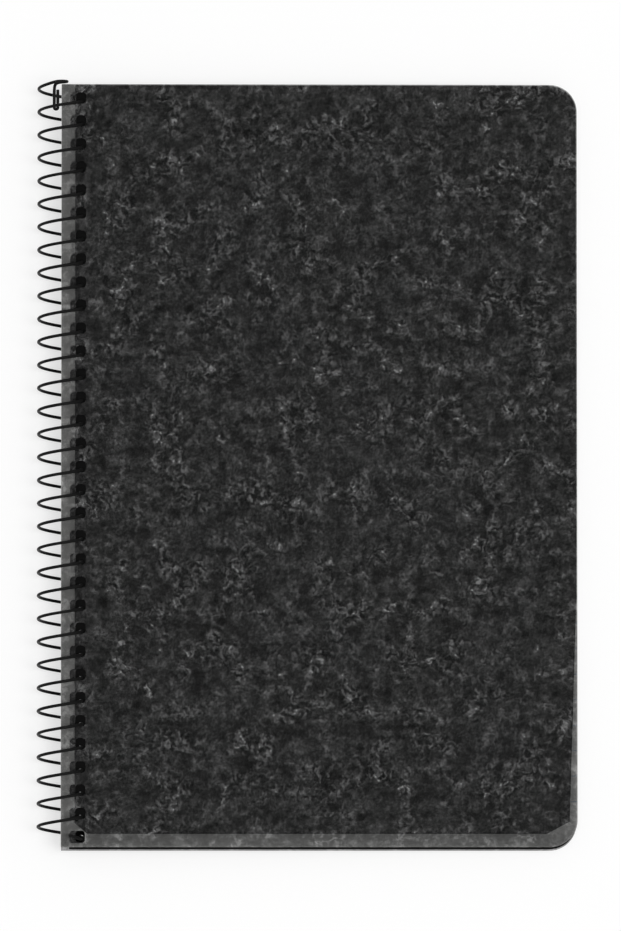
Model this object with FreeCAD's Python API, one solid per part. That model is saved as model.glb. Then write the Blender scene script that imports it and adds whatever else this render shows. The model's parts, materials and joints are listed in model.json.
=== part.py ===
"""Spiral notebook: punched film covers with loose cards behind them, a page block and a wire coil.

Millimetres. X runs from the coil to the fore-edge, Y up the page and Z up from the desk.
The sheets are drawn level around the coil's axis, at x = z = 0, with y = 0 at their middle.
At the end the notebook is tipped on to the desk and its origin moved under its middle.
"""
import FreeCAD, Part
import math
import os
from FreeCAD import Vector

# Sheets
sheet_width = 141.9
corner_radius = 7.5
film_thickness = 0.4
card_thickness = 0.3
page_block_thickness = 4.6
layer_gap = 0.06

# Punched holes along the spine edge
hole_pitch = 6.35
hole_count = 33
hole_height = 3.15
hole_corner_cut = 0.85
hole_to_spine_edge = 2.35
film_hole_to_spine_edge = 3.9
hole_to_top_edge = 3.85
hole_to_bottom_edge = 2.95

# How far the sheets below the front cover hang down the coil
pages_drop = 0.12
back_cover_drop = 0.95

# Loose card behind each film: how far each edge lies inside the film's edge
card_inset = 0.25
card_to_coil_clearance = 0.25

# The front card is short at its foot, with a leaning side and a cut corner
front_card_foot_inset = 3.65
card_lean = 1.9
card_lean_height = 68.0
card_corner_cut_x = 6.3
card_corner_cut_y = 3.4

# Wire coil
wire_diameter = 0.86
coil_radius = 6.2
axis_to_spine_edge = 0.15
wire_sides = 6
steps_per_turn = 16
wire_to_hole_side = 0.22
wire_to_hole_foot = 0.145
lock_clearance = 0.12
lock_length = 7.2
lock_tip_drop = 1.95
lock_side_share = 0.9
lock_start_angle = 225

# Derived sizes
wire_radius = wire_diameter / 2
sheet_height = hole_to_top_edge + hole_to_bottom_edge + (hole_count - 1) * hole_pitch
sheet_top = sheet_height / 2
first_hole_y = sheet_top - hole_to_top_edge
hole_left = axis_to_spine_edge + hole_to_spine_edge
film_hole_left = axis_to_spine_edge + film_hole_to_spine_edge
fore_edge = axis_to_spine_edge + sheet_width
pages_face = page_block_thickness / 2
card_face = pages_face + layer_gap
film_face = card_face + card_thickness + layer_gap
outer_face = film_face + film_thickness
film_middle = film_face + film_thickness / 2
coil_outside = coil_radius + wire_radius
hole_right = coil_outside + wire_to_hole_side
wire_below_hole_centre = hole_height / 2 - wire_to_hole_foot - wire_radius


def hole_y(index):
    """Height up the page of a hole's centre, counted from the top."""
    return first_hole_y - index * hole_pitch


def plate(outline, bottom, thickness):
    """Solid plate from a closed outline of edges drawn at z = 0."""
    face = Part.Face(Part.Wire(outline))
    face.translate(Vector(0, 0, bottom))
    return face.extrude(Vector(0, 0, thickness))


def rounded_sheet(left, right, bottom, top, radius):
    """Outline with square corners at the spine and round ones at the fore-edge."""
    slant = radius * math.sqrt(0.5)
    arc_x = right - radius
    upper = Part.Arc(
        Vector(arc_x, top, 0),
        Vector(arc_x + slant, top - radius + slant, 0),
        Vector(right, top - radius, 0),
    )
    lower = Part.Arc(
        Vector(right, bottom + radius, 0),
        Vector(arc_x + slant, bottom + radius - slant, 0),
        Vector(arc_x, bottom, 0),
    )
    return [
        Part.makeLine(Vector(left, bottom, 0), Vector(left, top, 0)),
        Part.makeLine(Vector(left, top, 0), Vector(arc_x, top, 0)),
        upper.toShape(),
        Part.makeLine(Vector(right, top - radius, 0), Vector(right, bottom + radius, 0)),
        lower.toShape(),
        Part.makeLine(Vector(arc_x, bottom, 0), Vector(left, bottom, 0)),
    ]


def hole_punches(left, drop, bottom, thickness):
    """Row of punches with clipped corners, one for each hole."""
    half_width = (hole_right - left) / 2
    half_height = hole_height / 2
    quarter = [
        (half_width, half_height - hole_corner_cut),
        (half_width - hole_corner_cut, half_height),
    ]
    corners = quarter + [(-x, y) for x, y in reversed(quarter)]
    corners += [(-x, -y) for x, y in corners]
    first = Part.makePolygon([Vector(x, y, 0) for x, y in corners + corners[:1]])
    punch = plate(first.Edges, bottom, thickness)
    middle = left + half_width
    return [punch.translated(Vector(middle, hole_y(index) - drop, 0)) for index in range(hole_count)]


def punched_sheet(first_x, drop, bottom, thickness):
    """Full sheet with the row of holes along its spine edge, each starting at first_x."""
    top = sheet_top - drop
    outline = rounded_sheet(axis_to_spine_edge, fore_edge, top - sheet_height, top, corner_radius)
    sheet = plate(outline, bottom, thickness)
    punches = hole_punches(first_x, drop, bottom - thickness, thickness * 3)
    return sheet.cut(Part.makeCompound(punches)).Solids[0]


def loose_card(drop, bottom):
    """Unpunched card that lies clear of the coil."""
    reach = coil_outside + card_to_coil_clearance
    left = math.sqrt(reach ** 2 - card_face ** 2)
    top = sheet_top - drop - card_inset
    foot = sheet_top - drop - sheet_height + card_inset
    outline = rounded_sheet(left, fore_edge - card_inset, foot, top, corner_radius - card_inset)
    return plate(outline, bottom, card_thickness)


def front_card():
    """Loose card trimmed short at its foot, with a leaning side and a cut lower corner."""
    side = fore_edge - card_inset
    low = -sheet_top + front_card_foot_inset
    outside = fore_edge + corner_radius
    trim = [
        Vector(side, -sheet_top + card_lean_height, 0),
        Vector(side - card_lean, low + card_corner_cut_y, 0),
        Vector(side - card_lean - card_corner_cut_x, low, 0),
        Vector(0, low, 0),
        Vector(0, -sheet_top - corner_radius, 0),
        Vector(outside, -sheet_top - corner_radius, 0),
        Vector(outside, -sheet_top + card_lean_height, 0),
    ]
    waste = plate(Part.makePolygon(trim + trim[:1]).Edges, card_face - card_thickness, card_thickness * 3)
    return loose_card(0, card_face).cut(waste).Solids[0]


def around(radius, angle, y):
    """Point beside the coil's axis, its angle in degrees from the pages towards the front."""
    turn = math.radians(angle)
    return Vector(radius * math.cos(turn), y, radius * math.sin(turn))


def front_crossing():
    """Angle at which the wire passes through the front film."""
    return math.degrees(math.asin(film_middle / coil_radius))


def coil_y(angle):
    """Height up the page of the wire's centre line, which falls as it turns."""
    turned = (angle - front_crossing()) / 360
    return first_hole_y - wire_below_hole_centre - turned * hole_pitch


def coil_turns(start, end):
    """Corners of the wire's centre line between two angles, in even steps."""
    step = 360 / steps_per_turn
    count = round((end - start) / step)
    angles = [start + index * step for index in range(count + 1)]
    return [around(coil_radius, angle, coil_y(angle)) for angle in angles]


def top_lock():
    """Folded end of the wire: over the top edge, down inside the coil and back up beside itself."""
    strand_gap = wire_diameter + lock_clearance
    fold = strand_gap / 2
    slant = fold * math.sqrt(0.5)
    inside = film_face - wire_radius - lock_clearance
    outer_x = -inside * lock_side_share
    middle_x = outer_x + fold
    inner_x = middle_x + fold
    depth = math.sqrt(inside ** 2 - outer_x ** 2)
    over_y = sheet_top + wire_radius + lock_clearance
    fold_y = over_y - lock_length + fold
    strands = [
        Vector(inner_x, over_y - lock_tip_drop, depth),
        Vector(inner_x, fold_y, depth),
        Vector(middle_x + slant, fold_y - slant, depth),
        Vector(middle_x, fold_y - fold, depth),
        Vector(middle_x - slant, fold_y - slant, depth),
        Vector(outer_x, fold_y, depth),
        Vector(outer_x, over_y - fold, depth),
    ]
    clear_x = wire_radius + lock_clearance * 3
    rise = coil_radius - film_face
    peak_y = over_y + lock_clearance
    bend = [
        Vector(outer_x / 2, over_y, (depth + inside) / 2),
        Vector(clear_x, peak_y, film_face),
        Vector(clear_x * 1.5, peak_y, film_face + rise / 3),
        Vector(clear_x / 2, peak_y, film_face + rise * 0.7),
        around(coil_radius - wire_radius, 103, over_y),
    ]
    return strands + bend


def bottom_tail(last_angle):
    """Cut end of the wire, turned in over the last hole."""
    inner = math.hypot(film_hole_left, film_middle) + wire_radius + lock_clearance * 2
    spare = coil_radius - inner
    y = hole_y(hole_count - 1)
    return [
        around(inner + spare * 0.8, last_angle + 18, y - wire_below_hole_centre / 2),
        around(inner + spare * 0.5, last_angle + 30, y),
        around(inner, last_angle + 43, y + wire_below_hole_centre / 4),
    ]


def coil():
    """One wire: the folded top end, the turns and the tail, swept with mitred corners."""
    turn_step = 360 / steps_per_turn
    start = -turn_step * round(lock_start_angle / turn_step)
    tail_angle = turn_step * math.floor(front_crossing() / turn_step)
    turns = coil_turns(start, tail_angle + 360 * (hole_count - 1))
    route = top_lock() + turns + bottom_tail(tail_angle)
    along = (route[1] - route[0]).normalize()
    side = along.cross(Vector(0, 0, 1)).normalize()
    up = along.cross(side)
    ring = []
    for index in range(wire_sides + 1):
        turn = 2 * math.pi * index / wire_sides
        ring.append(route[0] + (side * math.cos(turn) + up * math.sin(turn)) * wire_radius)
    sweep = Part.BRepOffsetAPI.MakePipeShell(Part.makePolygon(route))
    sweep.setTransitionMode(1)
    sweep.add(Part.makePolygon(ring))
    sweep.build()
    sweep.makeSolid()
    return sweep.shape()


def rest_tilt():
    """Angle that brings the back cover's fore-edge down to the level of the coil's underside."""
    reach = math.hypot(fore_edge, outer_face)
    return math.degrees(math.asin(coil_outside / reach) - math.atan2(outer_face, fore_edge))


def build():
    """All pieces, tipped on to the desk around the coil's axis and centred over the origin."""
    pieces = {
        "coil": coil(),
        "front_cover": punched_sheet(film_hole_left, 0, film_face, film_thickness),
        "front_card": front_card(),
        "pages": punched_sheet(hole_left, pages_drop, -pages_face, page_block_thickness),
        "back_card": loose_card(back_cover_drop, -card_face - card_thickness),
        "back_cover": punched_sheet(film_hole_left, back_cover_drop, -outer_face, film_thickness),
    }
    for shape in pieces.values():
        shape.rotate(Vector(0, 0, 0), Vector(0, 1, 0), rest_tilt())
    box = Part.makeCompound(list(pieces.values())).BoundBox
    foot = Vector(-box.Center.x, -box.Center.y, -box.ZMin)
    for shape in pieces.values():
        shape.translate(foot)
    print("coil axis at x %.4f z %.4f, rest tilt %.4f degrees" % (foot.x, foot.z, rest_tilt()))
    return pieces


os.makedirs("parts", exist_ok=True)
for name, piece in build().items():
    piece.exportStep("parts/%s.step" % name)
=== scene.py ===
"""Spiral notebook dressed for its looks: printed films, loose cards, leaves and a round wire.

Pieces are modelled in millimetres in the level frame, where the coil's axis is x = z = 0,
X runs to the fore-edge, Y up the page and Z to the front. Each is then laid in its resting place.
"""
import json
import math
import bpy
from mathutils import Matrix, Vector


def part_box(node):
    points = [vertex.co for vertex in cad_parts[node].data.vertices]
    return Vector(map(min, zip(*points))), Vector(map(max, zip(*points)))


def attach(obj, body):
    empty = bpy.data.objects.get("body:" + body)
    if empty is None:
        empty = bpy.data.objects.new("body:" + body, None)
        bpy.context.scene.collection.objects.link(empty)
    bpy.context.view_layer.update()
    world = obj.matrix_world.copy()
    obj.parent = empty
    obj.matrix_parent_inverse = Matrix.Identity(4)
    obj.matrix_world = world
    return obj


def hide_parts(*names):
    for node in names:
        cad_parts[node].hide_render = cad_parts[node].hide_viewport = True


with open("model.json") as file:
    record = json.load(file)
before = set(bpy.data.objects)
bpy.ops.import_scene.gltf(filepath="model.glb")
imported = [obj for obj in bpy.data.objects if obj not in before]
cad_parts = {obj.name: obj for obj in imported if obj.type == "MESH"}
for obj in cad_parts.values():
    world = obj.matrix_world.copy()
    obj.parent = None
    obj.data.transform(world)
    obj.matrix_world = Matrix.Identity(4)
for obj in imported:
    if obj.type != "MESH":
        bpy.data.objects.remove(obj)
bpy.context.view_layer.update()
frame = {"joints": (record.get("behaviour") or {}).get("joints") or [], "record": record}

# Sheets, as in the part
spine_edge = 0.15
fore_edge = 142.05
sheet_height = 210.0
corner_radius = 7.5
corner_steps = 12
film_thickness = 0.4
card_thickness = 0.3
block_thickness = 4.6
layer_gap = 0.06
pages_drop = 0.12
leaves_foot_inset = 0.2
back_cover_drop = 0.95
corner_margin = 1.0

# Row of holes
hole_pitch = 6.35
hole_count = 33
hole_left = 2.5
film_hole_left = 4.05
hole_right = 6.85
hole_height = 3.15
page_hole_height = 3.5
hole_corner = 1.0
hole_corner_steps = 4
hole_to_top = 3.85

# Loose cards
front_card_left = 3.9
back_card_left = 2.4
card_inset = 0.25
front_card_foot_inset = 3.65
back_card_foot_inset = 0.4
card_lean = 1.9
card_lean_height = 68.0
card_corner_cut = (6.3, 3.4)
tail_cut = (3.5, 3.0)
slot_left = 5.03
slot_right = 6.28
slot_half_height = 0.475
slot_corner = 0.44

# Wire
wire_radius = 0.43
coil_radius = 6.2
clearance = 0.12
points_per_turn = 12
wire_below_hole = 1.0
lock_length = 7.2
turns_start = -235
turns_end = 22.5 + 360 * (hole_count - 1)

# Bundles of leaves, and how far each slips out of line
bundle_count = 12
bundle_gap = 0.015
bundle_slip = 0.05
inward_turn = 2.4
aside_turn = 4.1

# Rules on the leaves, in the object's own millimetres
rule_spacing = 7.0
rule_offset = 1.5
rule_top_margin = 20.0
rule_foot_margin = 9.0
rules_left = -56.0
rule_ends = 0.2

# Stone print: origin and swirl in millimetres, marks in cells' widths, and what each mark adds
print_origin = (310, 470, 0)
swirl_reach = 4.2
vein_width = 0.022
beside_width = 0.35
hollow_core = 0.05
ring_radius = 0.17
ring_width = 0.06
ring_wobble = 0.4
grain_contrast = 8.2
even_contrast = 1.6
beside_contrast = 3.0
patch_contrast = 5.0
ring_lift = 0.9
hollow_lift = -1.3
beside_lift = 0.45
vein_lift = 0.8
even_lift = -0.18
pale_limit = 0.12
cloud_strength = 0.1
vein_strength = 0.03

# Strip along the film's foot, where the film is made a little more opaque, so the cover reads
# darker there
foot_strip_full = 3.4
foot_strip_end = 4.0

# Paper and card: fibres run along X, leaves lie level
fibre_stretch = (2.2, 5.0, 2.2)
leaf_stretch = (0.05, 0.05, 11.0)
leaf_relief = 0.8

# Depth of the finest relief, in metres
relief_depth = 0.0001

# Heights of the layers from the middle of the pages
card_face = block_thickness / 2 + layer_gap
film_face = card_face + card_thickness + layer_gap
film_middle = film_face + film_thickness / 2
front_crossing = math.degrees(math.asin(film_middle / coil_radius))
sheet_top = sheet_height / 2
first_hole_y = sheet_top - hole_to_top

# Where the level frame lies
turn_joint = next(j for j in frame["joints"] if j["name"] == "front_turn")
fore_edge_mount = next(m for m in frame["record"]["mounts"] if m["name"] == "fore_edge")
cover_low, cover_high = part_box("front_cover")
rest_tilt = math.atan2(-fore_edge_mount["axis"][2], fore_edge_mount["axis"][0])
coil_axis = Vector(turn_joint["pos_m"])
coil_axis.y = (cover_low.y + cover_high.y) / 2
level_to_rest = (
    Matrix.Translation(coil_axis) @ Matrix.Rotation(rest_tilt, 4, "Y") @ Matrix.Scale(0.001, 4)
)


# ---------------------------------------------------------------- node helpers

def grey(level):
    return (level, level, level, 1)


def set_inputs(node, values):
    """Gives a node's inputs their values, or links them where the value is a socket."""
    for key, value in values.items():
        socket = node.inputs[key]
        if isinstance(value, bpy.types.NodeSocket):
            node.id_data.links.new(value, socket)
        else:
            socket.default_value = value


def place(tree, kind, values=None, **settings):
    """Adds a node with its settings and its inputs' values."""
    node = tree.nodes.new(kind)
    for key, value in settings.items():
        setattr(node, key, value)
    set_inputs(node, values or {})
    return node


def combine(tree, operation, first, second=0.0):
    """One Math node's value."""
    node = place(tree, "ShaderNodeMath", {0: first, 1: second}, operation=operation)
    return node.outputs[0]


def centred(tree, value):
    """A noise value less its middle."""
    return combine(tree, "SUBTRACT", value, 0.5)


def add_up(tree, *terms):
    """Sum of values, each times its weight."""
    total = None
    for value, weight in terms:
        part = combine(tree, "MULTIPLY", value, weight)
        total = part if total is None else combine(tree, "ADD", total, part)
    return total


def fade(tree, value, low, high, to_low=0.0, to_high=1.0):
    """Smooth step of a value between two levels."""
    node = place(
        tree, "ShaderNodeMapRange",
        {"Value": value, "From Min": low, "From Max": high, "To Min": to_low, "To Max": to_high},
        interpolation_type="SMOOTHSTEP",
    )
    return node.outputs["Result"]


def fade_out(tree, value, low, high):
    """Smooth step from 1 at the low level to 0 at the high one."""
    return fade(tree, value, low, high, to_low=1.0, to_high=0.0)


def noise(tree, vector, scale, detail, roughness=0.55, dimensions="3D"):
    """Noise's outputs, Fac and Color."""
    node = place(
        tree, "ShaderNodeTexNoise",
        {"Vector": vector, "Scale": scale, "Detail": detail, "Roughness": roughness},
        noise_dimensions=dimensions,
    )
    return node.outputs


def flat_noise(tree, vector, scale, detail, roughness=0.5):
    """Noise that reads X and Y alone, for a print on a level face."""
    return noise(tree, vector, scale, detail, roughness, dimensions="2D")


def flat_cells(tree, vector, scale, feature):
    """Outputs of a cell pattern that reads X and Y alone."""
    node = place(
        tree, "ShaderNodeTexVoronoi", {"Vector": vector, "Scale": scale},
        feature=feature, voronoi_dimensions="2D",
    )
    return node.outputs


def add_vectors(tree, first, second):
    node = place(tree, "ShaderNodeVectorMath", {0: first, 1: second}, operation="ADD")
    return node.outputs[0]


def scale_vector(tree, vector, factor):
    node = place(tree, "ShaderNodeVectorMath", {0: vector, 3: factor}, operation="SCALE")
    return node.outputs[0]


def stretch_vector(tree, vector, scale):
    node = place(tree, "ShaderNodeMapping", {"Vector": vector, "Scale": scale})
    return node.outputs["Vector"]


def split(tree, vector):
    """A vector's or a colour's three values, X, Y and Z."""
    return place(tree, "ShaderNodeSeparateXYZ", {"Vector": vector}).outputs


def blend_colors(tree, factor, first, second):
    node = place(tree, "ShaderNodeMix", {0: factor, 6: first, 7: second}, data_type="RGBA")
    return node.outputs[2]


def relief(tree, height, strength):
    """Normal of a surface with fine relief."""
    values = {"Height": height, "Strength": strength, "Distance": relief_depth}
    return place(tree, "ShaderNodeBump", values).outputs["Normal"]


def object_mm(tree):
    """Object coordinates in millimetres, turned level."""
    where = tree.nodes.new("ShaderNodeTexCoord")
    turned = place(
        tree, "ShaderNodeMapping",
        {
            "Vector": where.outputs["Object"],
            "Rotation": (0, -rest_tilt, 0),
            "Scale": (1000, 1000, 1000),
        },
        vector_type="POINT",
    )
    return turned.outputs["Vector"]


def new_group(name, inputs, outputs):
    """Empty node group with named sockets; returns it with its input and output nodes."""
    group = bpy.data.node_groups.new(name, "ShaderNodeTree")
    kinds = {"value": "NodeSocketFloat", "color": "NodeSocketColor", "vector": "NodeSocketVector"}
    for socket, kind in inputs:
        group.interface.new_socket(socket, in_out="INPUT", socket_type=kinds[kind])
    for socket, kind in outputs:
        group.interface.new_socket(socket, in_out="OUTPUT", socket_type=kinds[kind])
    return group, group.nodes.new("NodeGroupInput"), group.nodes.new("NodeGroupOutput")


def use_group(tree, group, values):
    node = tree.nodes.new("ShaderNodeGroup")
    node.node_tree = group
    set_inputs(node, values)
    return node


def new_material(name):
    material = bpy.data.materials.new(name)
    material.use_nodes = True
    tree = material.node_tree
    return material, tree, tree.nodes["Principled BSDF"]


# ---------------------------------------------------------------- camera, light and floor

def add_camera():
    """Looks almost straight down from far away, leaning a little towards the notebook's foot."""
    image_height = 931
    view_scale = 3.6384
    sensor_height = 24
    distance = 2.5
    lean = math.radians(2.6)
    aim_from_spine = 0.06847
    aim_below_middle = 0.00018
    target = Vector((cover_low.x + aim_from_spine, coil_axis.y - aim_below_middle, cover_high.z))
    away = Vector((0, -math.sin(lean), math.cos(lean))) * distance
    bpy.ops.object.camera_add(location=target + away, rotation=(lean, 0, 0))
    camera = bpy.context.object
    camera.name = "camera"
    camera.data.sensor_fit = "VERTICAL"
    camera.data.sensor_height = sensor_height
    camera.data.lens = sensor_height * distance / (image_height / view_scale / 1000)
    camera.data.clip_end = 20
    bpy.context.scene.camera = camera


def add_lights():
    """A pale even room, white where it is seen, with one wide lamp above the fore-edge."""
    room_light = 0.55
    lamp_lean = math.radians(23)
    world = bpy.data.worlds.new("room")
    world.use_nodes = True
    tree = world.node_tree
    seen = tree.nodes.new("ShaderNodeLightPath").outputs["Is Camera Ray"]
    strength = fade(tree, seen, low=0.0, high=1.0, to_low=room_light, to_high=1.0)
    set_inputs(tree.nodes["Background"], {"Color": grey(1), "Strength": strength})
    bpy.context.scene.world = world
    bpy.ops.object.light_add(type="SUN", rotation=(0, lamp_lean, 0))
    lamp = bpy.context.object
    lamp.name = "wide_lamp"
    lamp.data.energy = 1.2
    lamp.data.angle = math.radians(30)


def add_floor():
    """Pale floor that keeps the shadow, and glows a little where it is seen."""
    floor_shade = 0.42
    floor_glow = 0.62
    bpy.ops.mesh.primitive_plane_add(size=6, location=(0, 0, 0))
    floor = bpy.context.object
    floor.name = "floor"
    material, tree, surface = new_material("floor_white")
    set_inputs(surface, {
        "Base Color": grey(floor_shade),
        "Roughness": 1.0,
        "Specular IOR Level": 0.0,
    })
    ray = tree.nodes.new("ShaderNodeLightPath").outputs
    seen = combine(tree, "MAXIMUM", ray["Is Camera Ray"], ray["Is Glossy Ray"])
    seen = combine(tree, "MAXIMUM", seen, ray["Is Transmission Ray"])
    plain = surface.outputs[0]
    glow = place(tree, "ShaderNodeEmission", {"Color": grey(1), "Strength": floor_glow})
    lit = place(tree, "ShaderNodeAddShader", {0: plain, 1: glow.outputs[0]})
    choice = place(tree, "ShaderNodeMixShader", {0: seen, 1: plain, 2: lit.outputs[0]})
    set_inputs(tree.nodes["Material Output"], {"Surface": choice.outputs[0]})
    floor.data.materials.append(material)


# ---------------------------------------------------------------- surface effects

def stone_print_group():
    """Dark fine-grained stone with broken pale veins, bright grains beside them and a few rings."""
    group, given, result = new_group(
        "dark_stone_print",
        [("Vector", "vector"), ("Ground", "color"), ("Cloud", "color"), ("Vein", "color")],
        [("Color", "color")],
    )
    # The noise's origin, where its octaves would line up, is moved off the cover
    spot = add_vectors(group, given.outputs["Vector"], print_origin)

    # A soft swirl curls the veins and the speckle
    swirl = flat_noise(group, spot, scale=0.3, detail=2.0, roughness=0.6)["Color"]
    drift = scale_vector(group, add_vectors(group, swirl, (-0.5, -0.5, -0.5)), swirl_reach)
    curled = add_vectors(group, spot, drift)

    grain = flat_noise(group, spot, scale=0.18, detail=4.0, roughness=0.95)["Fac"]
    field = flat_noise(group, spot, scale=0.09, detail=2.0, roughness=0.6)["Fac"]
    speckle = flat_noise(group, curled, scale=0.64, detail=1.0, roughness=0.7)["Fac"]
    curl = flat_noise(group, curled, scale=0.35, detail=1.0)["Fac"]
    patch = fade(group, field, low=0.5, high=0.62)

    # Veins along the borders of large cells, broken up, and the strips beside them
    off_vein = flat_cells(group, curled, scale=0.07, feature="DISTANCE_TO_EDGE")["Distance"]
    broken = combine(
        group, "MULTIPLY",
        fade(group, speckle, low=0.3, high=0.5, to_low=0.15),
        fade(group, field, low=0.42, high=0.56, to_low=0.25),
    )
    veins = combine(group, "MULTIPLY", fade_out(group, off_vein, 0.0, vein_width), broken)
    beside = combine(
        group, "MULTIPLY",
        fade_out(group, off_vein, 0.0, beside_width), fade(group, curl, low=0.36, high=0.6),
    )

    # Rings round some cells' middles, and dark hollows in others
    blobs = flat_cells(group, spot, scale=0.13, feature="F1")
    chance = split(group, blobs["Color"])["X"]
    wobble = combine(group, "MULTIPLY", centred(group, curl), ring_wobble)
    radius = combine(group, "ADD", blobs["Distance"], wobble)
    off_ring = combine(group, "ABSOLUTE", combine(group, "SUBTRACT", radius, ring_radius))
    rings = combine(
        group, "MULTIPLY",
        fade_out(group, off_ring, 0.0, ring_width), fade(group, chance, low=0.4, high=0.7),
    )
    hollows = combine(
        group, "MULTIPLY",
        fade_out(group, radius, hollow_core, ring_radius),
        fade(group, chance, low=0.45, high=0.1),
    )

    # How pale each spot is: the sum as a power, held under a ceiling
    contrast = add_up(group, (beside, beside_contrast), (patch, patch_contrast))
    contrast = combine(group, "ADD", contrast, even_contrast)
    pale = add_up(
        group,
        (centred(group, grain), grain_contrast),
        (centred(group, speckle), contrast),
        (rings, ring_lift),
        (hollows, hollow_lift),
        (beside, beside_lift),
        (veins, vein_lift),
    )
    pale = combine(group, "EXPONENT", combine(group, "ADD", pale, even_lift))
    held = combine(group, "ADD", combine(group, "MULTIPLY", pale, pale_limit), 1.0)
    pale = combine(group, "DIVIDE", pale, held)

    cloud_share = combine(group, "MULTIPLY", pale, cloud_strength)
    vein_share = combine(group, "MULTIPLY", veins, vein_strength)
    ground = blend_colors(group, cloud_share, given.outputs["Ground"], given.outputs["Cloud"])
    colour = blend_colors(group, vein_share, ground, given.outputs["Vein"])
    set_inputs(result, {"Color": colour})
    return group


def fibre_group():
    """Fine paper or card fibres: a slight mottling and its relief."""
    group, given, result = new_group(
        "paper_fibres",
        [("Vector", "vector"), ("Color", "color"), ("Strength", "value")],
        [("Color", "color"), ("Relief", "value")],
    )
    spot = given.outputs["Vector"]
    along_fibres = stretch_vector(group, spot, fibre_stretch)
    fibres = noise(group, along_fibres, scale=1.0, detail=4.0, roughness=0.7)["Fac"]
    mottle = noise(group, spot, scale=0.3, detail=2.0)["Fac"]
    both = add_up(group, (fibres, 0.6), (mottle, 0.4))
    swing = combine(group, "MULTIPLY", centred(group, both), given.outputs["Strength"])
    brightness = combine(group, "ADD", swing, 1.0)
    tinted = scale_vector(group, given.outputs["Color"], brightness)
    set_inputs(result, {"Color": tinted, "Relief": both})
    return group


def printed_film(stone):
    """Outer face of the smoky film, with the stone pattern printed on it."""
    material, tree, surface = new_material("printed_film")
    spot = object_mm(tree)
    stone_print = use_group(tree, stone, {
        "Vector": spot,
        "Ground": grey(0.001),
        "Cloud": grey(0.37),
        "Vein": grey(0.4),
    }).outputs["Color"]
    # The film hides more where its ink is dark; along its foot it is made a little more opaque, so
    # the cover reads darker there
    ink = split(tree, stone_print)["X"]
    hiding = fade(tree, ink, low=0.01, high=0.1, to_low=0.68, to_high=0.59)
    foot = fade(
        tree, split(tree, spot)["Y"],
        low=-sheet_top + foot_strip_full, high=-sheet_top + foot_strip_end,
        to_low=0.055, to_high=0.0,
    )
    pebble = flat_noise(tree, spot, scale=1.2, detail=1.0)["Fac"]
    set_inputs(surface, {
        "Base Color": stone_print,
        "Alpha": combine(tree, "ADD", hiding, foot),
        "Roughness": 0.5,
        "Normal": relief(tree, pebble, strength=0.05),
        "Specular IOR Level": 0.1,
    })
    return material


def clear_film():
    """Inner face and cut edges of the same film."""
    material, tree, surface = new_material("clear_film")
    haze = noise(tree, object_mm(tree), scale=0.4, detail=1.0)["Fac"]
    set_inputs(surface, {
        "Base Color": grey(0.03),
        "Alpha": fade(tree, haze, low=0.3, high=0.7, to_low=0.02, to_high=0.05),
        "Roughness": 0.45,
        "Specular IOR Level": 0.2,
    })
    return material


def black_card(fibres):
    """Matt black card with its fibres."""
    material, tree, surface = new_material("black_card")
    sheet = use_group(tree, fibres, {
        "Vector": object_mm(tree),
        "Color": grey(0.004),
        "Strength": 0.9,
    })
    set_inputs(surface, {
        "Base Color": sheet.outputs["Color"],
        "Roughness": 0.8,
        "Normal": relief(tree, sheet.outputs["Relief"], strength=0.25),
        "Specular IOR Level": 0.06,
    })
    return material


def ruled_paper(fibres):
    """White leaves: faint blue rules on the open faces and fine lines of leaves at the edges."""
    paper_white = (0.82, 0.82, 0.80, 1)
    rule_blue = (0.42, 0.5, 0.62, 1)
    leaf_shadow = (0.45, 0.44, 0.42, 1)
    material, tree, surface = new_material("ruled_paper")
    spot = object_mm(tree)
    sheet = use_group(tree, fibres, {"Vector": spot, "Color": paper_white, "Strength": 0.1})
    parts = split(tree, spot)
    across, up = parts["X"], parts["Y"]
    facing = split(tree, tree.nodes.new("ShaderNodeTexCoord").outputs["Normal"])["Z"]
    open_face = fade(tree, combine(tree, "ABSOLUTE", facing), low=0.6, high=0.9)

    # Rules, kept inside their margins
    shifted = combine(tree, "ADD", up, rule_offset)
    off_rule = combine(tree, "PINGPONG", shifted, rule_spacing / 2)
    lowest = -sheet_top + rule_foot_margin
    highest = sheet_top - rule_top_margin
    rules = fade_out(tree, off_rule, 0.08, 0.16)
    for shown in (
        fade_out(tree, up, highest - rule_ends, highest),
        fade(tree, up, lowest, lowest + rule_ends),
        fade(tree, across, rules_left, rules_left + rule_ends),
        open_face,
    ):
        rules = combine(tree, "MULTIPLY", rules, shown)

    # Lines between the leaves, at the cut edges only
    across_leaves = stretch_vector(tree, spot, leaf_stretch)
    leaves = noise(tree, across_leaves, scale=1.0, detail=2.0, roughness=0.6)["Fac"]
    cut_edge = combine(tree, "SUBTRACT", 1.0, open_face)
    between = fade(tree, leaves, low=0.35, high=0.6, to_low=0.4, to_high=0.0)
    shadow = combine(tree, "MULTIPLY", between, cut_edge)

    colour = blend_colors(tree, rules, sheet.outputs["Color"], rule_blue)
    colour = blend_colors(tree, shadow, colour, leaf_shadow)
    leaf_height = combine(tree, "MULTIPLY", leaves, leaf_relief)
    height = combine(tree, "ADD", sheet.outputs["Relief"], leaf_height)
    set_inputs(surface, {
        "Base Color": colour,
        "Roughness": 0.85,
        "Normal": relief(tree, height, strength=0.2),
        "Specular IOR Level": 0.2,
    })
    return material


def coated_wire():
    """Black nylon coat over steel wire."""
    material, tree, surface = new_material("coated_wire")
    skin = noise(tree, object_mm(tree), scale=2.4, detail=3.0, roughness=0.6)["Fac"]
    set_inputs(surface, {
        "Base Color": blend_colors(tree, skin, grey(0.009), grey(0.014)),
        "Roughness": fade(tree, skin, low=0.3, high=0.7, to_low=0.3, to_high=0.42),
        "Normal": relief(tree, skin, strength=0.12),
        "Specular IOR Level": 0.04,
    })
    return material


# ---------------------------------------------------------------- modelling helpers

def deselect():
    bpy.ops.object.select_all(action="DESELECT")


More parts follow.
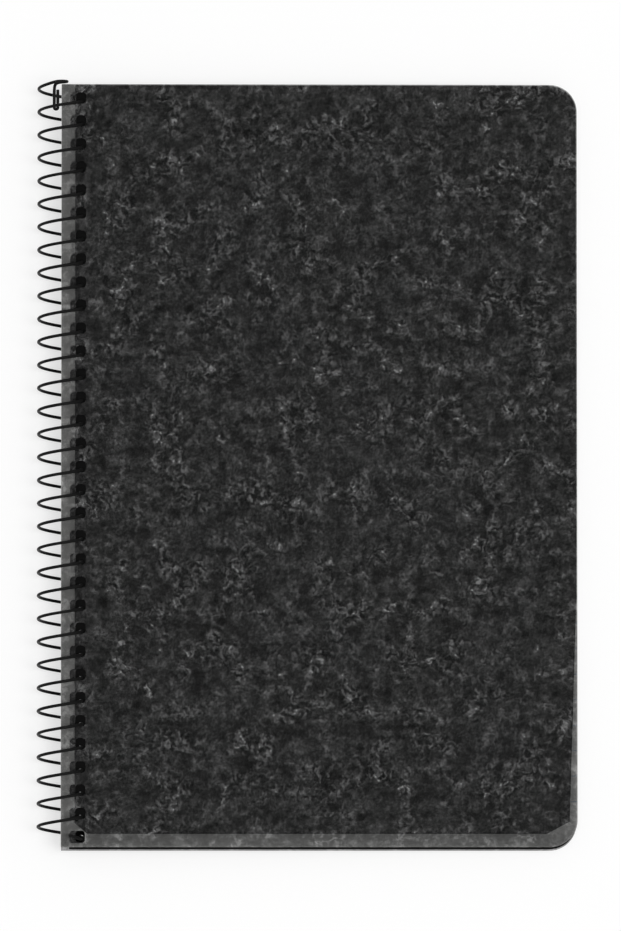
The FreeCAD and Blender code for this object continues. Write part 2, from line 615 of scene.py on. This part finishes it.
def select_only(*pieces):
    deselect()
    for piece in pieces:
        piece.select_set(True)
    bpy.context.view_layer.objects.active = pieces[0]


def start_edit():
    """Opens the active piece for editing, selected all over."""
    bpy.ops.object.mode_set(mode="EDIT")
    bpy.ops.mesh.select_all(action="SELECT")


def end_edit():
    bpy.ops.object.mode_set(mode="OBJECT")


def add_rectangle(left, right, bottom, top, height):
    """Flat rectangle in the level frame, its scale applied."""
    deselect()
    middle = ((left + right) / 2, (bottom + top) / 2, height)
    bpy.ops.mesh.primitive_plane_add(size=1, location=middle)
    plane = bpy.context.object
    plane.scale = (right - left, top - bottom, 1)
    bpy.ops.object.transform_apply(location=True, rotation=False, scale=True)
    return plane


def round_corners(plane, radius, steps, past=-math.inf, above=-math.inf):
    """Rounds a flat outline's corners that lie beyond an x and above a y."""
    mesh = plane.data
    mesh.polygons.foreach_set("select", [False] * len(mesh.polygons))
    mesh.edges.foreach_set("select", [False] * len(mesh.edges))
    for vertex in mesh.vertices:
        vertex.select = vertex.co.x > past and vertex.co.y > above
    bpy.ops.object.mode_set(mode="EDIT")
    bpy.ops.mesh.select_mode(type="VERT")
    bpy.ops.mesh.bevel(offset=radius, segments=steps, affect="VERTICES")
    end_edit()


def apply_array(piece, count, step):
    """Repeats a piece by a fixed step."""
    array = piece.modifiers.new("row", "ARRAY")
    array.use_relative_offset = False
    array.use_constant_offset = True
    array.constant_offset_displace = step
    array.count = count
    select_only(piece)
    bpy.ops.object.modifier_apply(modifier=array.name)


def trim_flat(outline, start, end):
    """Cuts away what lies to the left of a line, seen from its start."""
    aside = (end - start).cross(Vector((0, 0, -1))).normalized()
    select_only(outline)
    start_edit()
    bpy.ops.mesh.bisect(plane_co=start, plane_no=aside, clear_outer=True)
    end_edit()


def hole_row(left, right, half_height, corner, height, centre_y, count):
    """Row of rounded rectangles, one below another."""
    cell = add_rectangle(left, right, centre_y - half_height, centre_y + half_height, height)
    round_corners(cell, corner, hole_corner_steps)
    apply_array(cell, count, (0, -hole_pitch, 0))
    return cell


def plate_with_holes(outline, holes, thickness):
    """Fills between an outline and a row of holes, then draws it out to its thickness."""
    select_only(outline, holes)
    bpy.ops.object.join()
    start_edit()
    bpy.ops.mesh.delete(type="ONLY_FACE")
    bpy.ops.mesh.select_all(action="SELECT")
    bpy.ops.mesh.fill(use_beauty=True)
    bpy.ops.mesh.select_all(action="SELECT")
    bpy.ops.mesh.extrude_region_move(TRANSFORM_OT_translate={"value": (0, 0, thickness)})
    bpy.ops.mesh.select_all(action="SELECT")
    bpy.ops.mesh.normals_make_consistent(inside=False)
    end_edit()
    return outline


def lay_down(piece, name, materials, body, node):
    """Puts a finished level piece in its resting place and ties it to the model."""
    piece.data.transform(piece.matrix_basis)
    piece.matrix_basis = Matrix.Identity(4)
    piece.data.transform(level_to_rest)
    piece.name = name
    piece.data.name = name
    for material in materials:
        piece.data.materials.append(material)
    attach(piece, body)
    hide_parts(node)


# ---------------------------------------------------------------- sheets

def punched_sheet(drop, bottom, thickness, first_x, opening, foot_inset=0.0):
    """Full sheet with a row of holes that start at first_x, each as high as the opening."""
    top = sheet_top - drop
    foot = top - sheet_height + foot_inset
    outline = add_rectangle(spine_edge, fore_edge, foot, top, bottom)
    round_corners(outline, corner_radius, corner_steps, past=fore_edge - corner_margin)
    holes = hole_row(
        first_x, hole_right, opening / 2, hole_corner, bottom, first_hole_y - drop, hole_count
    )
    return plate_with_holes(outline, holes, thickness)


def film_cover(drop, bottom, outer):
    """Punched film whose outer face carries the print, and whose other faces are clear."""
    film = punched_sheet(drop, bottom, film_thickness, film_hole_left, hole_height)
    for face in film.data.polygons:
        faces_out = face.normal.z * outer > 0.5
        face.material_index = 0 if faces_out else 1
    return film


def loose_card(left, drop, bottom, side, trimmed):
    """Card behind a film, with a slot for each turn of the wire."""
    top = sheet_top - drop - card_inset
    foot_inset = front_card_foot_inset if trimmed else back_card_foot_inset
    foot = sheet_top - drop - sheet_height + foot_inset
    right = fore_edge - card_inset
    outline = add_rectangle(left, right, foot, top, bottom)
    if trimmed:
        lean_start = Vector((right, -sheet_top + card_lean_height, bottom))
        lean_end = Vector((right - card_lean, foot + card_corner_cut[1], bottom))
        cut_end = Vector((lean_end.x - card_corner_cut[0], foot, bottom))
        tail_start = Vector((left + tail_cut[0], foot, bottom))
        tail_end = Vector((left, foot + tail_cut[1], bottom))
        trim_flat(outline, lean_start, lean_end)
        trim_flat(outline, lean_end, cut_end)
        trim_flat(outline, tail_start, tail_end)
    round_corners(
        outline, corner_radius - card_inset, corner_steps,
        past=right - corner_margin, above=top - corner_margin if trimmed else -math.inf,
    )
    slots = hole_row(
        slot_left, slot_right, slot_half_height, slot_corner, bottom,
        first_hole_y - wire_y_offset(side), hole_count - 1 if trimmed else hole_count,
    )
    return plate_with_holes(outline, slots, card_thickness)


def page_stack():
    """Leaves in small bundles, each a hair out of line with the next."""
    step = block_thickness / bundle_count
    first = punched_sheet(
        pages_drop, -block_thickness / 2, step - bundle_gap,
        hole_left, page_hole_height, leaves_foot_inset,
    )
    stack = [first]
    for index in range(1, bundle_count):
        select_only(first)
        bpy.ops.object.duplicate()
        stack.append(bpy.context.object)
        inward = bundle_slip * (1 + math.sin(index * inward_turn))
        aside = bundle_slip * math.sin(index * aside_turn)
        bpy.ops.transform.translate(value=(-inward, aside, index * step))
    select_only(*stack)
    bpy.ops.object.transform_apply(location=True, rotation=False, scale=False)
    bpy.ops.object.join()
    return first


# ---------------------------------------------------------------- wire

def wire_y(angle):
    """Height up the page at which the wire has turned by an angle."""
    return first_hole_y - wire_below_hole - (angle - front_crossing) / 360 * hole_pitch


def wire_y_offset(side):
    """How far below a front hole's centre the wire passes through the card on that side."""
    angle = side * math.degrees(math.asin((card_face + card_thickness / 2) / coil_radius))
    return first_hole_y - wire_y(angle)


def around(radius, angle, y):
    """Point at an angle round the coil's axis."""
    turn = math.radians(angle)
    return (radius * math.cos(turn), y, radius * math.sin(turn))


def folded_end():
    """Wire's upper end: down inside the first turns, folded back up and over to the coil."""
    outer_reach = 0.9
    tip_below_top = 1.95
    run_below_top = 3.5
    bend_below_top = 1.2
    fold_lead = 1.5
    fold_bulge = 1.3
    landing_angle = 103
    between_runs = wire_radius * 2 + clearance
    fold = between_runs / 2
    inside = film_face - wire_radius - clearance
    outer_x = -inside * outer_reach
    inner_x = outer_x + between_runs
    depth = math.sqrt(inside ** 2 - outer_x ** 2)
    over_y = sheet_top + wire_radius + clearance
    fold_y = over_y - lock_length + fold
    inner_run = [
        (inner_x, over_y - tip_below_top, depth),
        (inner_x, over_y - run_below_top, depth),
        (inner_x, fold_y + fold_lead, depth),
        (inner_x, fold_y, depth),
        (inner_x, fold_y - fold * fold_bulge, depth),
    ]
    outer_run = [
        (outer_x, fold_y - fold * fold_bulge, depth),
        (outer_x, fold_y, depth),
        (outer_x, fold_y + fold_lead, depth),
        (outer_x, over_y - run_below_top, depth),
        (outer_x, over_y - bend_below_top, depth),
    ]
    clear_x = wire_radius + clearance * 7
    peak_y = over_y + clearance / 2
    rise = coil_radius - film_face
    over_the_top = [
        (outer_x * 0.8, over_y, (depth + inside) / 2),
        (clear_x, peak_y, film_face),
        (clear_x * 1.5, peak_y, film_face + rise / 3),
        (clear_x / 2, peak_y, film_face + rise * 0.75),
        around(coil_radius - wire_radius / 2, landing_angle, over_y),
    ]
    return inner_run + outer_run + over_the_top


def even_turns():
    """Turns through the holes, with control points far enough out to keep the wire's radius."""
    step = 360 / points_per_turn
    control_radius = coil_radius * 3 / (2 + math.cos(math.radians(step)))
    count = round((turns_end - turns_start) / step)
    turns = []
    for index in range(count + 1):
        angle = turns_start + (turns_end - turns_start) * index / count
        turns.append(around(control_radius, angle, wire_y(angle)))
    return turns


def hooked_tail():
    """Wire's lower end, bent in under the last hole."""
    bend_in, swing_in, tip = (turns_end + further for further in (18, 30, 43))
    inner = math.hypot(film_hole_left, film_middle) + wire_radius + clearance * 2
    spare = coil_radius - inner
    last_hole_y = first_hole_y - (hole_count - 1) * hole_pitch
    return [
        around(inner + spare * 0.8, bend_in, last_hole_y - wire_below_hole / 2),
        around(inner + spare * 0.5, swing_in, last_hole_y),
        around(inner, tip, last_hole_y + wire_below_hole / 4),
    ]


def wound_wire():
    """Round wire drawn along its route."""
    deselect()
    bpy.ops.curve.primitive_nurbs_path_add(location=(0, 0, 0))
    wire = bpy.context.object
    route = folded_end() + even_turns() + hooked_tail()
    spline = wire.data.splines[0]
    spline.points.add(len(route) - len(spline.points))
    for point, spot in zip(spline.points, route):
        point.co = (*spot, 1)
    spline.order_u = 4
    spline.use_endpoint_u = True
    spline.resolution_u = 3
    wire.data.bevel_depth = wire_radius
    wire.data.bevel_resolution = 3
    wire.data.use_fill_caps = True
    select_only(wire)
    bpy.ops.object.convert(target="MESH")
    start_edit()
    bpy.ops.mesh.remove_doubles(threshold=0.001)
    bpy.ops.mesh.normals_make_consistent(inside=False)
    end_edit()
    bpy.ops.object.shade_smooth_by_angle(angle=math.radians(50))
    return wire


# ---------------------------------------------------------------- the notebook

add_camera()
add_lights()
add_floor()

stone = stone_print_group()
fibres = fibre_group()
film = [printed_film(stone), clear_film()]
card = [black_card(fibres)]
paper = [ruled_paper(fibres)]
coat = [coated_wire()]

back_film_bottom = -film_face - film_thickness
back_card_bottom = -card_face - card_thickness
lay_down(
    film_cover(0, film_face, 1),
    "front_film", film, "front_cover", "front_cover",
)
lay_down(
    loose_card(front_card_left, 0, card_face, 1, trimmed=True),
    "front_sheet", card, "front_cover", "front_card",
)
lay_down(page_stack(), "leaves", paper, "block", "pages")
lay_down(
    loose_card(back_card_left, back_cover_drop, back_card_bottom, -1, trimmed=False),
    "back_sheet", card, "back_cover", "back_card",
)
lay_down(
    film_cover(back_cover_drop, back_film_bottom, -1),
    "back_film", film, "back_cover", "back_cover",
)
lay_down(wound_wire(), "spiral_wire", coat, "block", "coil")

bpy.context.scene.view_settings.view_transform = "Standard"
